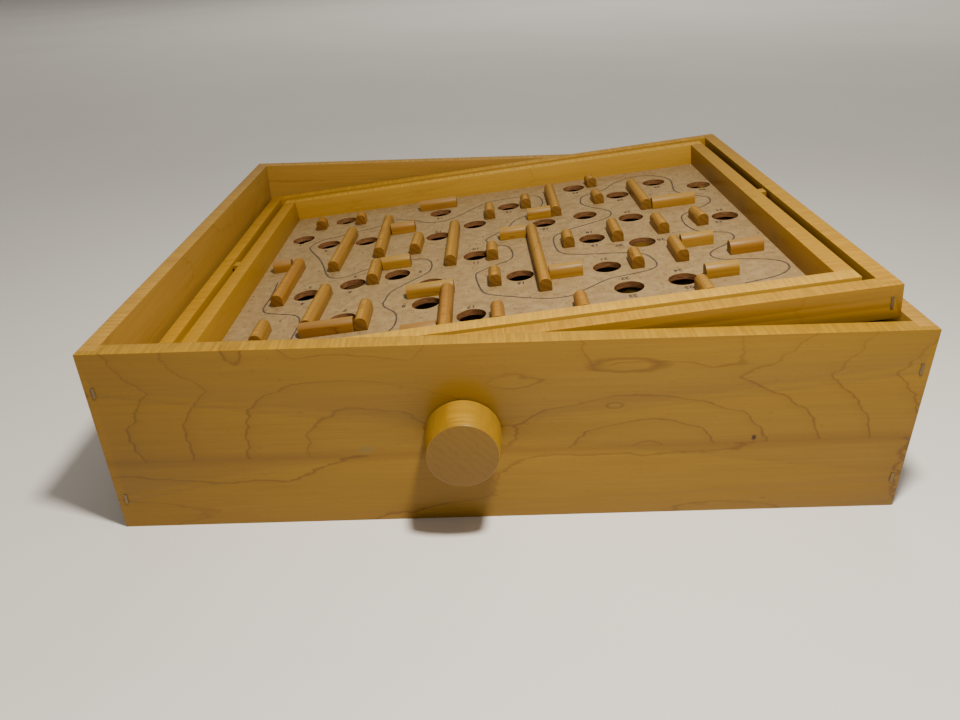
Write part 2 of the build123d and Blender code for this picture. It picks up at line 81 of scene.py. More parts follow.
class Graph:
    """A material's node tree, with short ways to add to it."""

    def __init__(self, name):
        self.material = bpy.data.materials.new(name)
        self.material.use_nodes = True
        self.tree = self.material.node_tree
        self.shader = self.tree.nodes["Principled BSDF"]

    def put(self, value, socket):
        """Sets a socket to a value, or links another socket to it."""
        if isinstance(value, bpy.types.NodeSocket):
            self.tree.links.new(value, socket)
        else:
            socket.default_value = value

    def node(self, kind, out=0, **inputs):
        """Adds a node. Lower-case words are its settings, and the others its sockets."""
        made = self.tree.nodes.new("ShaderNode" + kind)
        for key, value in inputs.items():
            if key[0].islower():
                setattr(made, key, value)
        for key, value in inputs.items():
            if not key[0].islower():
                self.put(value, made.inputs[key.replace("_", " ")])
        return made.outputs[out]

    def math(self, operation, first, second=0.0, third=0.0):
        """One Math node."""
        made = self.tree.nodes.new("ShaderNodeMath")
        made.operation = operation
        for socket, value in zip(made.inputs, (first, second, third)):
            self.put(value, socket)
        return made.outputs[0]

    def added(self, first, second):
        """The sum of two vectors."""
        made = self.tree.nodes.new("ShaderNodeVectorMath")
        made.operation = "ADD"
        self.put(first, made.inputs[0])
        self.put(second, made.inputs[1])
        return made.outputs[0]

    def scaled(self, vector, factors, shift=(0.0, 0.0, 0.0)):
        """A vector stretched and moved."""
        made = self.tree.nodes.new("ShaderNodeMapping")
        self.put(vector, made.inputs["Vector"])
        made.inputs["Scale"].default_value = factors
        made.inputs["Location"].default_value = shift
        return made.outputs[0]

    def noise(self, vector, factors, shift=(0.0, 0.0, 0.0), detail=2.0, rough=0.5):
        """A noise texture of so many cycles to the metre along each axis."""
        return self.node("TexNoise", Vector=self.scaled(vector, factors, shift), Scale=1.0,
                         Detail=detail, Roughness=rough)

    def ramp(self, value, *stops):
        """A smooth step between (place, colour or grey) stops."""
        made = self.tree.nodes.new("ShaderNodeValToRGB")
        self.put(value, made.inputs[0])
        elements = made.color_ramp.elements
        while len(elements) < len(stops):
            elements.new(0.5)
        for element, (place, colour) in zip(elements, stops):
            element.position = place
            grey = not hasattr(colour, "__len__")
            element.color = (colour, colour, colour, 1) if grey else (*colour, 1)
        return made.outputs[0]

    def mix(self, factor, first, second, blend="MIX"):
        """A colour mix."""
        made = self.tree.nodes.new("ShaderNodeMix")
        made.data_type = "RGBA"
        made.blend_type = blend
        self.put(factor, made.inputs[0])
        for socket, value in ((made.inputs[6], first), (made.inputs[7], second)):
            if isinstance(value, tuple):
                value = (*value, 1.0)
            self.put(value, socket)
        return made.outputs[2]

    def bump(self, height, strength, distance):
        """Fine relief on the surface."""
        normal = self.node("Bump", Height=height, Strength=strength, Distance=distance)
        self.put(normal, self.shader.inputs["Normal"])


def mesh_from(bm, name, material, smooth=False):
    """A mesh with one material, from a bmesh that isn't needed any more."""
    mesh = bpy.data.meshes.new(name)
    bm.to_mesh(mesh)
    bm.free()
    mesh.materials.append(material)
    for polygon in mesh.polygons:
        polygon.use_smooth = smooth
    return mesh


def placed(name, data):
    """A new object in the scene."""
    made = bpy.data.objects.new(name, data)
    bpy.context.scene.collection.objects.link(made)
    return made


# Wood. The growth lines of the front wall are arches that stand on the joint between its two
# boards, with ovals beside them, a stain and a knot. Each is its middle's x and z, and all but the
# arches have half their length and height too.
ARCHES = ((-0.060, 0.033), (0.058, 0.034))
ARCH_LENGTH = 1.65
ARCH_STEP = 0.098
FOLD_Z = 0.066
OVALS = ((0.046, 0.0725, 0.0135, 0.0032), (0.043, 0.0545, 0.0030, 0.0012))
KNOT = (0.1005, 0.0373, 0.0012, 0.0017)
KNOT_COLOUR = (0.03, 0.012, 0.004)
STAIN = (-0.058, 0.0364, 0.0040, 0.0022)
STAIN_COLOUR = (0.17, 0.13, 0.04)

# The height of the joint between the two boards of a wall, and how much it rises to the right.
SEAM_Z = 0.0344
SIDE_SEAM_Z = 0.047
SEAM_SLOPE = 0.0073
SEAM_SHIFT = (3.3, 1.7)

# Noise scales along and across the grain.
JITTER = (70.0, 260.0)
PATCH = (12.0, 22.0)
FIBRE = (22.0, 900.0)
FLECK = (320.0, 1700.0)
SAW_MARK = (900.0, 60.0)
BAND = (3.5, 40.0)
CLOUD = (9.0, 9.0, 9.0)
COARSE = (1900.0, 1900.0, 1900.0)

# Each wood's colours: between the bands, in the bands, and in the growth lines.
MAPLE = ((0.30, 0.162, 0.009), (0.24, 0.122, 0.005), (0.115, 0.042, 0.002))
# A copy of MAPLE, a little lighter and less saturated, for the walls whose inner faces stand in
# shade: painted fill light.
INNER = ((0.32, 0.175, 0.026), (0.26, 0.135, 0.016), (0.115, 0.042, 0.002))
PALE = ((0.42, 0.235, 0.022), (0.34, 0.175, 0.012), (0.17, 0.07, 0.005))
# A darker, more saturated copy of PALE: painted shade for the gimbal bars and the tray's side
# bars.
SHADED_AMBER = ((0.33, 0.172, 0.010), (0.27, 0.132, 0.006), (0.13, 0.05, 0.003))
TAN = ((0.30, 0.155, 0.020), (0.215, 0.100, 0.010), (0.095, 0.030, 0.003))
DUSK = ((0.11, 0.052, 0.012), (0.08, 0.036, 0.008), (0.04, 0.016, 0.004))
# Painted light: the paler, less saturated colour of the crossbars' upper faces, as if lit from
# above.
BAR_TOP_PAINTED_LIGHT = (0.27, 0.162, 0.048)
LACQUER_SPECULAR = 0.28
COAT_ROUGHNESS = 0.22
TINT_SHIFT = 3.0

AXES = {"X": 0, "Y": 1, "Z": 2}


def by_grain(along, lengthwise, crosswise):
    """Three factors, the one along the grain differing from the two across it."""
    return tuple(lengthwise if i == AXES[along] else crosswise for i in range(3))


def oval(g, x, z, middle_x, middle_z, half_length, half_height):
    """Distance from the middle of an oval, which is 1 on its edge."""
    over = g.math("DIVIDE", g.math("SUBTRACT", x, middle_x), half_length)
    up = g.math("DIVIDE", g.math("SUBTRACT", z, middle_z), half_height)
    return g.math("SQRT", g.math("ADD", g.math("MULTIPLY", over, over),
                                 g.math("MULTIPLY", up, up)))


def cathedral(g, x, z, slow):
    """A field whose level curves are the arches. Away from their middles they bend back."""
    sides = [g.math("ABSOLUTE", g.math("SUBTRACT", x, middle[0])) for middle in ARCHES]
    off = g.math("MULTIPLY", g.math("MINIMUM", sides[0], sides[1]), 10.0)
    bent = g.math("MULTIPLY", g.math("MAXIMUM", g.math("SUBTRACT", z, FOLD_Z), 0.0),
                  g.ramp(off, (0.22, 0.0), (0.45, 1.9)))
    z = g.math("SUBTRACT", z, bent)
    far = [oval(g, x, z, *middle, ARCH_LENGTH, 1.0) for middle in ARCHES]
    nearest = g.math("SMOOTH_MIN", far[0], far[1], 0.015)
    return g.math("MULTIPLY_ADD", slow, 0.5, g.math("DIVIDE", nearest, ARCH_STEP))


def growth_lines(g, place, along, shift, slow, jitter, rings):
    """Level curves of a slow field, each sharp on one side and fading on the other."""
    field = g.math("MULTIPLY_ADD", jitter, 0.045, slow)
    level = g.math("FRACT", g.math("MULTIPLY", field, rings))
    thin = g.ramp(level, (0.70, 0.0), (0.93, 0.14), (0.965, 1.0), (0.995, 0.0))
    patch = g.noise(place, by_grain(along, *PATCH), shift)
    return g.math("MULTIPLY", thin, g.ramp(patch, (0.36, 0.35), (0.60, 1.0)))


def front_marks(g, x, z, jitter, colour, line):
    """Adds the ovals, the stain and the knot."""
    for spot in OVALS:
        edge = g.math("ABSOLUTE", g.math("SUBTRACT", g.math(
            "MULTIPLY_ADD", jitter, 0.9, oval(g, x, z, *spot)), 1.45))
        colour = g.mix(g.ramp(edge, (0.0, 0.6), (0.32, 0.0)), colour, line)
    for spot, strength, mark in ((STAIN, 0.4, STAIN_COLOUR), (KNOT, 1.0, KNOT_COLOUR)):
        ragged = g.math("MULTIPLY_ADD", jitter, 0.6, g.math(
            "MULTIPLY", oval(g, x, z, *spot), 0.5))
        colour = g.mix(g.ramp(ragged, (0.55, strength), (0.85, 0.0)), colour, mark)
    return colour


def saw_marks(g, place, along, shift, upward, colour, base):
    """Adds pale strokes across the grain on level upper edges: partly real saw marks, partly a
    painted highlight on these lit tops.
    """
    strokes = g.noise(place, by_grain(along, *SAW_MARK), shift)
    level = g.ramp(upward, (0.9, 0.0), (0.98, 1.0))
    strokes = g.math("MULTIPLY", g.ramp(strokes, (0.40, 0.15), (0.66, 0.75)), level)
    return g.mix(strokes, colour, tuple(min(1.0, 1.35 * value) for value in base))


def end_grain(g, place, shift, dark, line, end_dark, end_line):
    """The colour of a sawn end: wavy rings and coarse pores."""
    coarse = g.noise(place, COARSE, shift)
    stripe = g.node("TexWave", 1, Vector=g.scaled(place, (1.0, 1.0, 1.0), shift), Scale=150.0,
                    Distortion=5.0, Detail=3.0, Detail_Scale=1.6, bands_direction="DIAGONAL")
    colour = g.mix(g.ramp(stripe, (0.35, 0.0), (0.95, end_line)), dark, line)
    colour = g.mix(g.ramp(coarse, (0.36, 0.18), (0.6, 0.0)), colour, line)
    return g.mix(1.0, colour, (end_dark,) * 3, "MULTIPLY")


def wood(name, along, colours, seed, rings=7.0, ring_size=(4.5, 17.0), ring_depth=0.55,
         band_size=BAND, seam=None, arched=False, tint=False, top=None, gloss=0.42, coat=0.1,
         end_dark=0.8, end_from=0.8, end_line=0.4):
    """Lacquered wood with its grain along one axis of the piece. Only a seamed wall is arched."""
    g = Graph(name)
    base, dark, line = colours
    place = g.node("TexCoord", 3)
    normal = g.node("TexCoord", 1)
    upward = g.node("SeparateXYZ", 2, Vector=normal)
    shift = (seed * 1.37, seed * 0.71, seed * 2.13)
    x = g.node("SeparateXYZ", 0, Vector=place)
    z = g.node("SeparateXYZ", 2, Vector=place)
    if tint:
        own = g.node("Attribute", 0, attribute_name="tint")
        place = g.added(place, g.scaled(own, (TINT_SHIFT,) * 3))
    if seam is not None:
        rise = g.math("MULTIPLY_ADD", x, -SEAM_SLOPE, z)
        lower = g.math("LESS_THAN", rise, seam)
        over, up = (g.math("MULTIPLY", lower, move) for move in SEAM_SHIFT)
        place = g.added(place, g.node("CombineXYZ", 0, X=over, Z=up))
    slow = g.noise(place, by_grain(along, *ring_size), shift, detail=1.5, rough=0.45)
    if arched:
        arches = cathedral(g, x, z, slow)
        slow = g.math("MULTIPLY_ADD", g.math("SUBTRACT", slow, arches), lower, arches)
    jitter = g.noise(place, by_grain(along, *JITTER), shift, detail=3.0)
    thin = growth_lines(g, place, along, shift, slow, jitter, rings)
    fibre = g.noise(place, by_grain(along, *FIBRE), shift, detail=4.0, rough=0.6)
    bands = g.noise(place, by_grain(along, *band_size), shift, detail=3.0, rough=0.55)
    cloud = g.noise(place, CLOUD, shift, detail=3.0)
    fleck = g.noise(place, by_grain(along, *FLECK), shift, detail=1.0)
    colour = g.mix(g.ramp(bands, (0.3, 0.0), (0.72, 1.0)), base, dark)
    colour = g.mix(g.math("MULTIPLY", g.ramp(cloud, (0.35, 0.0), (0.7, 1.0)), 0.35), colour, dark)
    if arched:
        # Painted shade: the front wall is darker toward its left end, where the lamp's light falls
        # off.
        left = g.ramp(g.math("MULTIPLY_ADD", x, 3.0, 0.5), (0.0, 0.95), (0.55, 0.0))
        colour = g.mix(left, colour, dark)
    colour = g.mix(g.math("MULTIPLY", thin, ring_depth), colour, line)
    colour = g.mix(g.ramp(fibre, (0.35, 0.16), (0.62, 0.0)), colour, line)
    colour = g.mix(g.ramp(fleck, (0.68, 0.0), (0.78, 0.30)), colour, line)
    if seam is not None:
        near = g.math("ABSOLUTE", g.math("SUBTRACT", rise, seam))
        colour = g.mix(g.ramp(near, (0.0, 0.34), (0.0004, 0.0)), colour, line)
    if arched:
        colour = front_marks(g, x, z, jitter, colour, line)
    # Pale strokes on upper edges: real saw marks, partly painted highlight.
    colour = saw_marks(g, place, along, shift, upward, colour, base)
    # Painted light: faces that point up turn toward the paler top colour, which keeps some of the
    # bands.
    if top is not None:
        wear_and_top_light = g.mix(g.ramp(bands, (0.35, 0.0), (0.65, 0.3)), top, dark)
        colour = g.mix(g.ramp(upward, (0.25, 0.0), (0.75, 0.75)), colour, wear_and_top_light)
    facing = g.math("ABSOLUTE", g.node("SeparateXYZ", AXES[along], Vector=normal))
    ends = g.ramp(facing, (end_from, 0.0), (0.5 + 0.5 * end_from, 1.0))
    colour = g.mix(ends, colour, end_grain(g, place, shift, dark, line, end_dark, end_line))
    if tint:
        colour = g.mix(1.0, colour, own, "MULTIPLY")
    g.put(colour, g.shader.inputs["Base Color"])
    rough = g.math("MULTIPLY_ADD", cloud, 0.16, gloss - 0.08)
    g.put(g.math("MULTIPLY_ADD", fibre, 0.10, rough), g.shader.inputs["Roughness"])
    g.shader.inputs["Specular IOR Level"].default_value = LACQUER_SPECULAR
    g.shader.inputs["Coat Weight"].default_value = coat
    g.shader.inputs["Coat Roughness"].default_value = COAT_ROUGHNESS
    g.bump(g.math("MULTIPLY_ADD", thin, -0.4, fibre), 0.10, 0.0004)
    return g.material


BAR = {"rings": 5.0, "ring_size": (9.0, 120.0), "ring_depth": 0.8, "band_size": (9.0, 420.0),
       "tint": True, "coat": 0.0, "end_dark": 0.75}
KNOB = {"seed": 8.0, "rings": 5.0, "ring_depth": 0.3, "gloss": 0.34, "coat": 0.15,
        "end_dark": 0.85, "end_from": 0.97, "end_line": 0.14}
wall_x = wood("wall_maple_x", "X", MAPLE, 2.0, seam=SEAM_Z, arched=True, ring_depth=0.75)
# The back and side walls take the lighter inner copy of the maple, as painted fill light in their
# shade.
back_x = wood("wall_maple_back", "X", INNER, 9.0, seam=SEAM_Z)
wall_y = wood("wall_maple_y", "Y", INNER, 5.0, seam=SIDE_SEAM_Z, ring_depth=0.3)
# The gimbal bars and the tray's side bars and pivot blocks take the darker copy, the tray's front
# and back bars the paler one: painted shade and painted light on one maple, for the shadowed
# gimbal front face and the brighter tray front bar.
gimbal_x = wood("gimbal_maple_x", "X", SHADED_AMBER, 14.0, ring_depth=0.25)
frame_x = wood("frame_maple_x", "X", PALE, 3.0, ring_depth=0.25)
frame_y = wood("frame_maple_y", "Y", SHADED_AMBER, 4.0, ring_depth=0.25)
bar_x = wood("bar_wood_x", "X", TAN, 6.0, top=BAR_TOP_PAINTED_LIGHT, **BAR)
bar_y = wood("bar_wood_y", "Y", TAN, 7.0, **BAR)
knob_y = wood("knob_wood_y", "Y", MAPLE, **KNOB)
knob_x = wood("knob_wood_x", "X", MAPLE, **KNOB)
dusk = wood("dark_ramp", "X", DUSK, 12.0, gloss=0.6, coat=0.0)
ply = wood("plywood", "X", PALE, 11.0, gloss=0.6, coat=0.0)


# Board, metal, cord and print.
FIBREBOARD = ((0.215, 0.138, 0.056), (0.300, 0.202, 0.088))
FIBREBOARD_WARM = (0.265, 0.17, 0.062)
DARK_FLECK = (0.13, 0.075, 0.03)
PALE_HAIR = (0.55, 0.42, 0.25)
BORED = ((0.10, 0.038, 0.010), (0.22, 0.095, 0.030))
COTTON = ((0.46, 0.40, 0.29), (0.70, 0.63, 0.50))
COTTON_SHADE = (0.40, 0.34, 0.24)
ZINC = (0.24, 0.18, 0.11)
STEEL = (0.74, 0.74, 0.75)
LINE_INK = (0.045, 0.03, 0.02)
NUMBER_INK = (0.035, 0.022, 0.015)


def hardboard(name):
    """Pale pressed board with fine flecks, and brown where it was bored through."""
    g = Graph(name)
    place = g.node("TexCoord", 3)
    normal = g.node("TexCoord", 1)
    mottle = g.noise(place, (210.0, 210.0, 210.0), detail=5.0, rough=0.65)
    cloud = g.noise(place, (16.0, 16.0, 16.0), detail=3.0)
    fleck = g.noise(place, (620.0, 420.0, 620.0))
    hair = g.noise(place, (260.0, 1500.0, 600.0))
    colour = g.mix(g.ramp(mottle, (0.36, 0.0), (0.66, 1.0)), *FIBREBOARD)
    colour = g.mix(g.math("MULTIPLY", g.ramp(cloud, (0.35, 0.0), (0.65, 1.0)), 0.3), colour,
                   FIBREBOARD_WARM)
    colour = g.mix(g.ramp(fleck, (0.60, 0.0), (0.72, 0.75)), colour, DARK_FLECK)
    colour = g.mix(g.ramp(hair, (0.70, 0.0), (0.80, 0.4)), colour, PALE_HAIR)
    height = g.math("ABSOLUTE", g.node("SeparateXYZ", 2, Vector=normal))
    wall = g.ramp(height, (0.45, 1.0), (0.8, 0.0))
    layer = g.noise(place, (300.0, 300.0, 2600.0), detail=3.0)
    bored = g.mix(g.ramp(layer, (0.38, 0.0), (0.62, 1.0)), *BORED)
    g.put(g.mix(wall, colour, bored), g.shader.inputs["Base Color"])
    g.shader.inputs["Specular IOR Level"].default_value = 0.3
    g.put(g.math("MULTIPLY_ADD", mottle, 0.2, 0.5), g.shader.inputs["Roughness"])
    g.bump(g.math("ADD", mottle, fleck), 0.12, 0.0003)
    return g.material


def metal(name, colour, rough):
    """Plated or polished metal with fine wear."""
    g = Graph(name)
    place = g.node("TexCoord", 3)
    wear = g.noise(place, (600.0, 600.0, 600.0), detail=4.0)
    cloud = g.noise(place, (90.0, 90.0, 90.0))
    dull = tuple(0.72 * value for value in colour)
    g.put(g.mix(g.ramp(cloud, (0.4, 0.0), (0.7, 0.6)), colour, dull),
          g.shader.inputs["Base Color"])
    g.shader.inputs["Metallic"].default_value = 1.0
    g.put(g.math("MULTIPLY_ADD", wear, 0.18, rough), g.shader.inputs["Roughness"])
    g.bump(wear, 0.06, 0.0002)
    return g.material


def cotton(name):
    """Twisted cotton cord."""
    g = Graph(name)
    place = g.node("TexCoord", 3)
    twist = g.node("TexWave", 1, Vector=place, Scale=260.0, Distortion=1.5, Detail=2.0,
                   bands_direction="DIAGONAL")
    fuzz = g.noise(place, (1500.0, 1500.0, 1500.0), detail=3.0)
    colour = g.mix(twist, *COTTON)
    g.put(g.mix(g.ramp(fuzz, (0.4, 0.4), (0.6, 0.0)), colour, COTTON_SHADE),
          g.shader.inputs["Base Color"])
    g.shader.inputs["Roughness"].default_value = 0.9
    g.bump(g.math("ADD", twist, fuzz), 0.4, 0.0003)
    return g.material


def ink(name, colour):
    """Thin brown-black print, a little broken up by the board under it."""
    g = Graph(name)
    place = g.node("TexCoord", 3)
    wear_and_top_light = g.noise(place, (700.0, 700.0, 700.0), detail=3.0)
    pale = tuple(min(1.0, 3.0 * value) for value in colour)
    g.put(g.mix(g.ramp(wear_and_top_light, (0.42, 0.0), (0.75, 0.8)), colour, pale),
          g.shader.inputs["Base Color"])
    g.shader.inputs["Roughness"].default_value = 0.6
    return g.material


board = hardboard("hardboard")
zinc = metal("zinc_wire", ZINC, 0.45)
steel = metal("ball_steel", STEEL, 0.08)
cord = cotton("cotton_cord")
line_ink = ink("line_ink", LINE_INK)
number_ink = ink("number_ink", NUMBER_INK)


# Wood pieces with softened edges, which stand for their CAD nodes.
MERGE = 1e-6
FLAT = math.radians(0.4)
SHARP = math.radians(32)
CREASE = math.radians(28)
WALL_EDGE = 0.0006
GIMBAL_EDGE = 0.0005
TRAY_EDGE = 0.0004
BAR_EDGE = 0.0003

# Tints of single maze bars, by the spot in millimetres on the board near which they stand. The
# others are left even.
TINT_REACH = 0.008
EVEN = (1.0, 1.0, 1.0)
YELLOW = (1.10, 1.10, 0.80)
ORANGE = (1.00, 0.92, 0.85)
BROWN = (0.90, 0.80, 0.70)
ROSY = (0.98, 0.90, 0.95)
TINTS = (
    ((32.5, -48.0), YELLOW), ((101.0, -29.5), YELLOW), ((102.0, -72.0), YELLOW),
    ((27.0, 49.0), YELLOW), ((10.0, 19.5), YELLOW), ((103.5, 37.0), YELLOW),
    ((-38.0, -49.0), YELLOW), ((-55.0, -3.0), YELLOW), ((120.0, -47.0), ORANGE),
    ((-57.0, 56.0), ORANGE), ((-37.0, 98.5), ORANGE), ((-87.0, 88.0), ORANGE),
    ((-112.0, -13.0), ORANGE), ((-82.5, -79.0), BROWN), ((-38.0, -96.0), BROWN),
    ((-114.0, 88.0), BROWN), ((-122.5, 16.0), ROSY), ((-2.0, -92.0), ROSY),
    ((-25.5, -82.0), ROSY), ((36.0, -93.0), ROSY),
)


def islands(bm):
    """The separate parts of a mesh, as lists of vertices."""
    seen = set()
    groups = []
    for start in bm.verts:
        if start in seen:
            continue
        seen.add(start)
        group = [start]
        for vert in group:
            for edge in vert.link_edges:
                other = edge.other_vert(vert)
                if other not in seen:
                    seen.add(other)
                    group.append(other)
        groups.append(group)
    return groups


def tint_bars(bm):
    """Gives each maze bar of a mesh its tint."""
    layer = bm.verts.layers.float_color.new("tint")
    for group in islands(bm):
        middle = sum((vert.co for vert in group), Vector()) / len(group)
        near = [tint for spot, tint in TINTS
                if (middle.xy - Vector(spot) / 1000).length < TINT_REACH]
        for vert in group:
            vert[layer] = (*(near[0] if near else EVEN), 1.0)


def softened(node, place, material, edge_width, body, tinted=False):
    """A copy of a CAD node whose sharp edges are rounded, standing for that node."""
    bm = bmesh.new()
    bm.from_mesh(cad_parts[node].data)
    bm.transform(place.inverted())
    bmesh.ops.remove_doubles(bm, verts=bm.verts, dist=MERGE)
    bmesh.ops.dissolve_limit(bm, angle_limit=FLAT, verts=bm.verts, edges=bm.edges)
    sharp = [edge for edge in bm.edges if edge.is_manifold and edge.calc_face_angle(0.0) > SHARP]
    if edge_width:
        bmesh.ops.bevel(bm, geom=sharp, offset=edge_width, segments=2, profile=0.6,
                        affect="EDGES", clamp_overlap=True)
    if tinted:
        tint_bars(bm)
    mesh = mesh_from(bm, node + "_soft", material, smooth=True)
    mesh.set_sharp_from_angle(angle=CREASE)
    piece = placed(node + "_piece", mesh)
    piece.matrix_world = place
    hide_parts(node)
    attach(piece, body)


WOOD_PIECES = (
    ("front_wall", LEVEL, wall_x, WALL_EDGE, "box", "lacquered_maple"),
    ("back_wall", LEVEL, back_x, WALL_EDGE, "box", "lacquered_maple"),
    ("left_wall", LEVEL, wall_y, WALL_EDGE, "box", "lacquered_maple"),
    ("right_wall", LEVEL, wall_y, WALL_EDGE, "box", "lacquered_maple"),
    ("gimbal_front_bar", FRAME, gimbal_x, GIMBAL_EDGE, "gimbal", "light_maple"),
    ("gimbal_back_bar", FRAME, gimbal_x, GIMBAL_EDGE, "gimbal", "light_maple"),
    ("gimbal_left_bar", FRAME, frame_y, GIMBAL_EDGE, "gimbal", "light_maple"),
    ("gimbal_right_bar", FRAME, frame_y, GIMBAL_EDGE, "gimbal", "light_maple"),
    ("tray_front_bar", TRAY, frame_x, TRAY_EDGE, "tray", "light_maple"),
    ("tray_back_bar", TRAY, frame_x, TRAY_EDGE, "tray", "light_maple"),
    ("tray_left_bar", TRAY, frame_y, TRAY_EDGE, "tray", "light_maple"),
    ("tray_right_bar", TRAY, frame_y, TRAY_EDGE, "tray", "light_maple"),
    ("tray_pivot_blocks", TRAY, frame_y, TRAY_EDGE, "tray", "light_maple"),
    ("front_knob", LEVEL, knob_y, 0.0, "front_drive", "turned_beech"),
    ("side_knob", LEVEL, knob_x, 0.0, "side_drive", "turned_beech"),
    ("maze_board", TRAY, board, 0.0, "tray", "hardboard"),
)
for node, place, material, edge_width, body, slot in WOOD_PIECES:
    softened(node, place, material, edge_width, body)
for node in sorted(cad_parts):
    if node.startswith("maze_bars"):
        softened(node, TRAY, bar_y, BAR_EDGE, "tray", tinted=True)
    elif node.startswith("maze_crossbars"):
        softened(node, TRAY, bar_x, BAR_EDGE, "tray", tinted=True)

# CAD nodes that are shown as they are.
PLAIN = {
    "bottom_panel": ply, "ball_ramp": dusk, "ramp_cleats": ply,
    "front_shaft": knob_y, "front_shaft_collar": knob_y,
    "side_shaft": knob_x, "side_shaft_collar": knob_x,
    "wall_staples": zinc, "gimbal_staples": zinc, "cord_guide_eyes": zinc,
    "gimbal_cord_hooks": zinc, "tray_cord_hooks": zinc, "gimbal_pivot_pins": zinc,
    "tray_pivot_pins": zinc, "gimbal_pivot_washers": zinc, "gimbal_cord_spring": zinc,
    "tray_cord_spring": zinc, "steel_ball": steel,
    "gimbal_drive_cord": cord, "tray_drive_cord": cord,
}
for node, material in PLAIN.items():
    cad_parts[node].data.materials.clear()
    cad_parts[node].data.materials.append(material)


# The free lengths of cord, from their guide eyes at the bottom to their hooks at the top.
# One that leads to the tray is in two parts, which meet halfway up. Each piece is named
# for the body at its upper end.
CORD_STEP = 0.003
CUT_REACH = 1e-7


def cut_level(bm, height, **kept):
    """Cuts a mesh at a height. What is above or below may be cleared."""
    whole = bm.verts[:] + bm.edges[:] + bm.faces[:]
    bmesh.ops.bisect_plane(bm, geom=whole, dist=CUT_REACH, plane_co=(0, 0, height),
                           plane_no=(0, 0, 1), **kept)


def hanging(node, bottom, top, high_body):
    """The part of a hanging cord between two heights, cut into thin slices along its height."""
    bm = bmesh.new()
    bm.from_mesh(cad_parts[node].data)
    bmesh.ops.remove_doubles(bm, verts=bm.verts, dist=MERGE)
    cut_level(bm, bottom, clear_inner=True)
    cut_level(bm, top, clear_outer=True)
    for count in range(1, int((top - bottom) / CORD_STEP)):
        cut_level(bm, bottom + count * CORD_STEP)
    piece = placed(node + "_to_" + high_body, mesh_from(bm, node + "_length", cord, smooth=True))
    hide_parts(node)
    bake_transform(piece)


for node in ("gimbal_cord_drop_left", "gimbal_cord_drop_right"):
    low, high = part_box(node)
    hanging(node, low[2], high[2], "gimbal")
for node in ("tray_cord_drop_front", "tray_cord_drop_back"):
    low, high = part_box(node)
    middle = (low[2] + high[2]) / 2
    hanging(node, low[2], middle, "gimbal")
    hanging(node, middle, high[2], "tray")


# Print on the board: the path line and the numbers, in millimetres on the tray. The print lies
# just above the board's upper face.
BOARD_TOP = -0.006
PRINT_LIFT = 0.00006
LINE_WIDTH = 0.0009
CORNER_CUTS = 2
PATH_SHIFT = Vector((0.6, 0.0))
PATH = (
    (109, -87), (126, -84), (134, -76), (132, -66), (117, -59), (108, -57), (104, -52),
    (104, -47), (107, -43), (116, -37), (121, -31), (122, -27), (121, -21), (114, -18),
    (108, -15), (105, -10), (103, 1), (104, 12), (106, 16), (111, 20), (119, 25), (123, 28),
    (127, 34), (127, 42), (122, 46), (112, 59), (112, 66), (115, 84), (114, 91), (110, 99),
    (99, 106), (88, 103), (78, 95), (72, 85), (62, 81), (56, 77), (54, 68), (54, 61),
    (60, 51), (68, 43), (69, 35), (65, 28), (52, 22), (42, 18), (39, 16), (32, 10), (31, 3),
    (31, -9), (33, -19), (42, -24), (53, -27), (65, -30), (73, -34), (76, -39), (78, -51),
    (75, -56), (71, -58), (59, -60), (52, -61), (40, -70), (33, -75), (29, -76), (20, -75),
    (4, -67), (-8, -60), (-10, -55), (-12, -44), (-13, -33), (-12, -30), (-6, -25),
    (-1, -22), (6, -18), (8, -12), (7, -1), (5, 5), (0, 7), (-7, 17), (-6, 22), (1, 29),
    (8, 38), (11, 48), (19, 54), (31, 70), (31, 86), (29, 92), (24, 96), (-3, 96),
    (-8, 91), (-23, 74), (-30, 67), (-40, 66), (-47, 71), (-51, 76), (-68, 86), (-73, 76),
    (-81, 72), (-89, 71), (-98, 66), (-113, 62), (-117, 53), (-117, 49), (-113, 40),
    (-107, 28), (-102, 14), (-98, -1), (-95, -7), (-90, -10), (-83, -9), (-74, -1),
    (-49, 4), (-41, 2), (-38, -3), (-37, -9), (-37, -15), (-39, -21), (-48, -30),
    (-54, -36), (-58, -42), (-59, -50), (-60, -55), (-58, -60), (-53, -66), (-51, -72),
    (-51, -82), (-54, -89), (-62, -95), (-76, -98), (-92, -95), (-100, -89), (-101, -83),
    (-100, -68), (-101, -60), (-103, -56), (-106, -53), (-121, -47), (-124, -43),
    (-125, -39), (-124, -24), (-125, -4),
)


def rounded(points, times):
    """Cuts each corner of an open line, so that it bends smoothly."""
    for _ in range(times):
        cut = [points[0]]
        for a, b in zip(points, points[1:]):
            cut.append(a.lerp(b, 0.25))
            cut.append(a.lerp(b, 0.75))
        points = cut + [points[-1]]
    return points


def printed(name, mesh):
    """A thin print that lies on the board and moves with the tray."""
    piece = placed(name, mesh)
    piece.matrix_world = TRAY
    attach(piece, "tray")


def ribbon(points, width):
    """A flat strip along a line on the board."""
    bm = bmesh.new()
    last = None
    for i, point in enumerate(points):
        heading = points[min(i + 1, len(points) - 1)] - points[max(i - 1, 0)]
        side = Vector((-heading.y, heading.x)).normalized() * (width / 2)
        pair = [bm.verts.new((*(point + side * sign), BOARD_TOP + PRINT_LIFT))
                for sign in (-1, 1)]
        if last:
            bm.faces.new((last[0], pair[0], pair[1], last[1]))
        last = pair
    return bm


line = rounded([(Vector(point) + PATH_SHIFT) / 1000 for point in PATH], CORNER_CUTS)
printed("path_line", mesh_from(ribbon(line, LINE_WIDTH), "path_line", line_ink))

NUMBER_SIZE = 0.0042
NUMBER_BOLD = 0.00012
NUMBER_OFF = 11.0
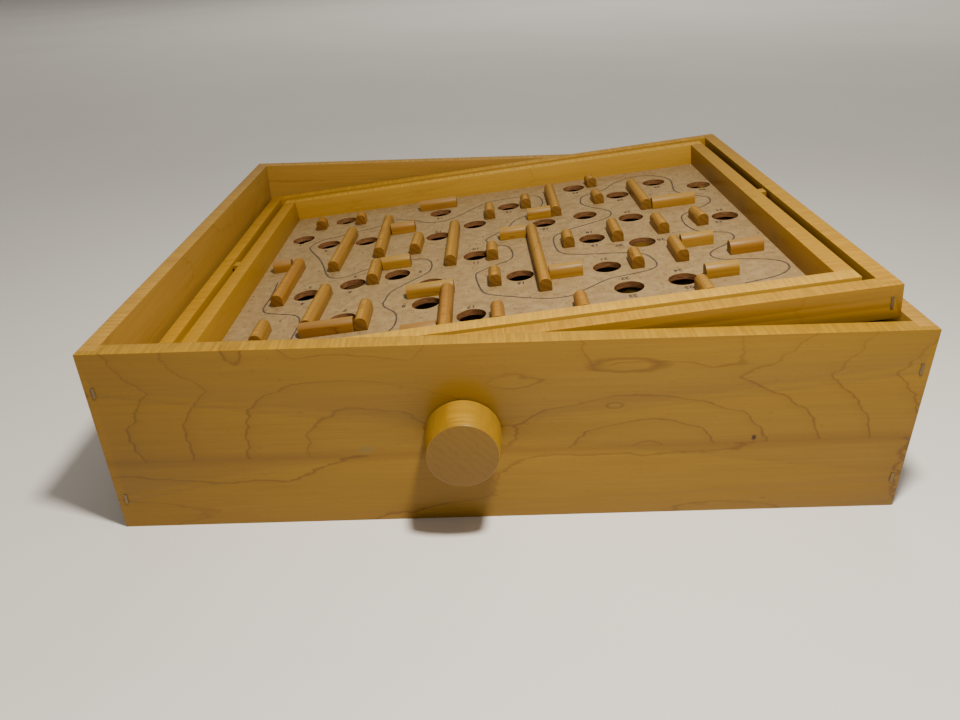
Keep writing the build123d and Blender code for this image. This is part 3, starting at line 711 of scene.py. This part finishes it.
# Each number: the hole it belongs to, and where it stands from that hole's middle.
NUMBERS = (
    (-124, 69, 0, -1), (-104.5, 51.5, 0, -1), (-103, -29, 0, 1), (-103, -29, 0, -1),
    (-79, -22, 0, 1), (-79, -22, 0, -1), (-78, -67, 0, 1), (-37, -61, -1, 0),
    (-55, -17, 1.15, 0), (-12, -4, 0, 1), (-12, -4, 0, -1), (-35, 38, 0, 0.8),
    (-35, 85, 0, -1), (9.5, 78, 0, -1), (29, 35.5, 0, -1), (10.5, -42, 0, -0.9),
    (-14.5, -82.5, 0, 0.9), (52.5, -2.5, 0, 1), (52.5, -2.5, 0, -1), (77, -18.5, -1.1, 0),
    (54, -46, 0, 1), (60, -74.5, 0, 1), (60, -74.5, 0, -0.9), (85.5, -73.5, 0, 1),
    (85.5, -73.5, 0, -0.9), (77, -18.5, 0.9, 0), (78.5, 23.5, 0, 1), (78.5, 70, 0, -1),
    (104.5, 86, 0, -1), (128.5, 67, 0, -0.9), (127, 4.5, 0, 1), (127, 4.5, -0.5, -0.75),
    (54, 98, 0, -1),
)


def lettering(places):
    """All the numbers as one flat mesh, read from the far side of the tray."""
    bm = bmesh.new()
    for number, (x, y, off_x, off_y) in enumerate(places, start=1):
        curve = bpy.data.curves.new("number", "FONT")
        curve.body = str(number)
        curve.size = NUMBER_SIZE
        curve.align_x = "CENTER"
        curve.align_y = "CENTER"
        curve.resolution_u = 3
        curve.offset = NUMBER_BOLD
        text = placed("number", curve)
        bpy.context.view_layer.update()
        flat = bpy.data.meshes.new_from_object(text.evaluated_get(
            bpy.context.evaluated_depsgraph_get()))
        spot = Vector((x + off_x * NUMBER_OFF, y + off_y * NUMBER_OFF, 0)) / 1000
        spot.z = BOARD_TOP + PRINT_LIFT
        flat.transform(Matrix.Translation(spot) @ Matrix.Rotation(math.pi, 4, "Z"))
        bm.from_mesh(flat)
        bpy.data.meshes.remove(flat)
        bpy.data.objects.remove(text)
        bpy.data.curves.remove(curve)
    return bm


printed("hole_numbers", mesh_from(lettering(NUMBERS), "hole_numbers", number_ink))


# Floor, light and camera.
FLOOR_HALF = 6.0
PAPER = ((0.74, 0.705, 0.65), (0.77, 0.735, 0.68))
ROOM_COLOUR = (0.80, 0.77, 0.72, 1)
ROOM_STRENGTH = 0.30
LAMP_PLACE = (0.064, -0.245, 0.461)
LAMP_RADIUS = 0.028
LAMP_WATTS = 14.6
LAMP_COLOUR = (1.0, 0.94, 0.85)
WASH_PLACE = (0.6, 2.9, 2.2)
WASH_SIZE = 2.4
WASH_WATTS = 56.0
WASH_COLOUR = (1.0, 0.96, 0.90)
CAMERA = Vector((-0.0085, -0.4054, 0.21665))
LENS = 28.79
PITCH = math.radians(28.34)
YAW = math.radians(-0.34)
ROLL = math.radians(1.85)


def paper(name):
    """Plain pale floor with the faintest mottling."""
    g = Graph(name)
    cloud = g.noise(g.node("TexCoord", 3), (3.0, 3.0, 3.0), detail=4.0)
    g.put(g.mix(g.ramp(cloud, (0.35, 0.0), (0.65, 1.0)), *PAPER), g.shader.inputs["Base Color"])
    g.shader.inputs["Roughness"].default_value = 0.8
    return g.material


bm = bmesh.new()
bmesh.ops.create_grid(bm, x_segments=1, y_segments=1, size=FLOOR_HALF)
floor = placed("floor", mesh_from(bm, "floor", paper("paper")))
floor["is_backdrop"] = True

world = bpy.data.worlds.new("world")
bpy.context.scene.world = world
world.use_nodes = True
room = world.node_tree.nodes["Background"]
room.inputs["Color"].default_value = ROOM_COLOUR
room.inputs["Strength"].default_value = ROOM_STRENGTH

# A small warm lamp half a metre up, in front of the box and a little to the right.
lamp = bpy.data.lights.new("lamp", "POINT")
lamp.energy = LAMP_WATTS
lamp.color = LAMP_COLOUR
lamp.shadow_soft_size = LAMP_RADIUS
bulb = placed("lamp", lamp)
bulb.location = LAMP_PLACE

# A broad light over the far part of the floor.
wash = bpy.data.lights.new("wash", "AREA")
wash.size = WASH_SIZE
wash.energy = WASH_WATTS
wash.color = WASH_COLOUR
panel = placed("wash", wash)
panel.location = WASH_PLACE
panel.visible_glossy = False

# The camera stands low in front of the box and looks down into it, turned a little to one side.
forward = Vector((math.sin(YAW) * math.cos(PITCH), math.cos(YAW) * math.cos(PITCH),
                  -math.sin(PITCH)))
level = Vector((math.cos(YAW), -math.sin(YAW), 0))
down = forward.cross(level)
across = level * math.cos(ROLL) + down * math.sin(ROLL)
drop = down * math.cos(ROLL) - level * math.sin(ROLL)
view = bpy.data.cameras.new("camera")
view.lens = LENS
view.sensor_width = 36.0
view.clip_start = 0.01
camera = placed("camera", view)
camera.matrix_world = Matrix((
    (across.x, -drop.x, -forward.x, CAMERA.x),
    (across.y, -drop.y, -forward.y, CAMERA.y),
    (across.z, -drop.z, -forward.z, CAMERA.z),
    (0, 0, 0, 1),
))
bpy.context.scene.camera = camera

low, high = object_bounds()
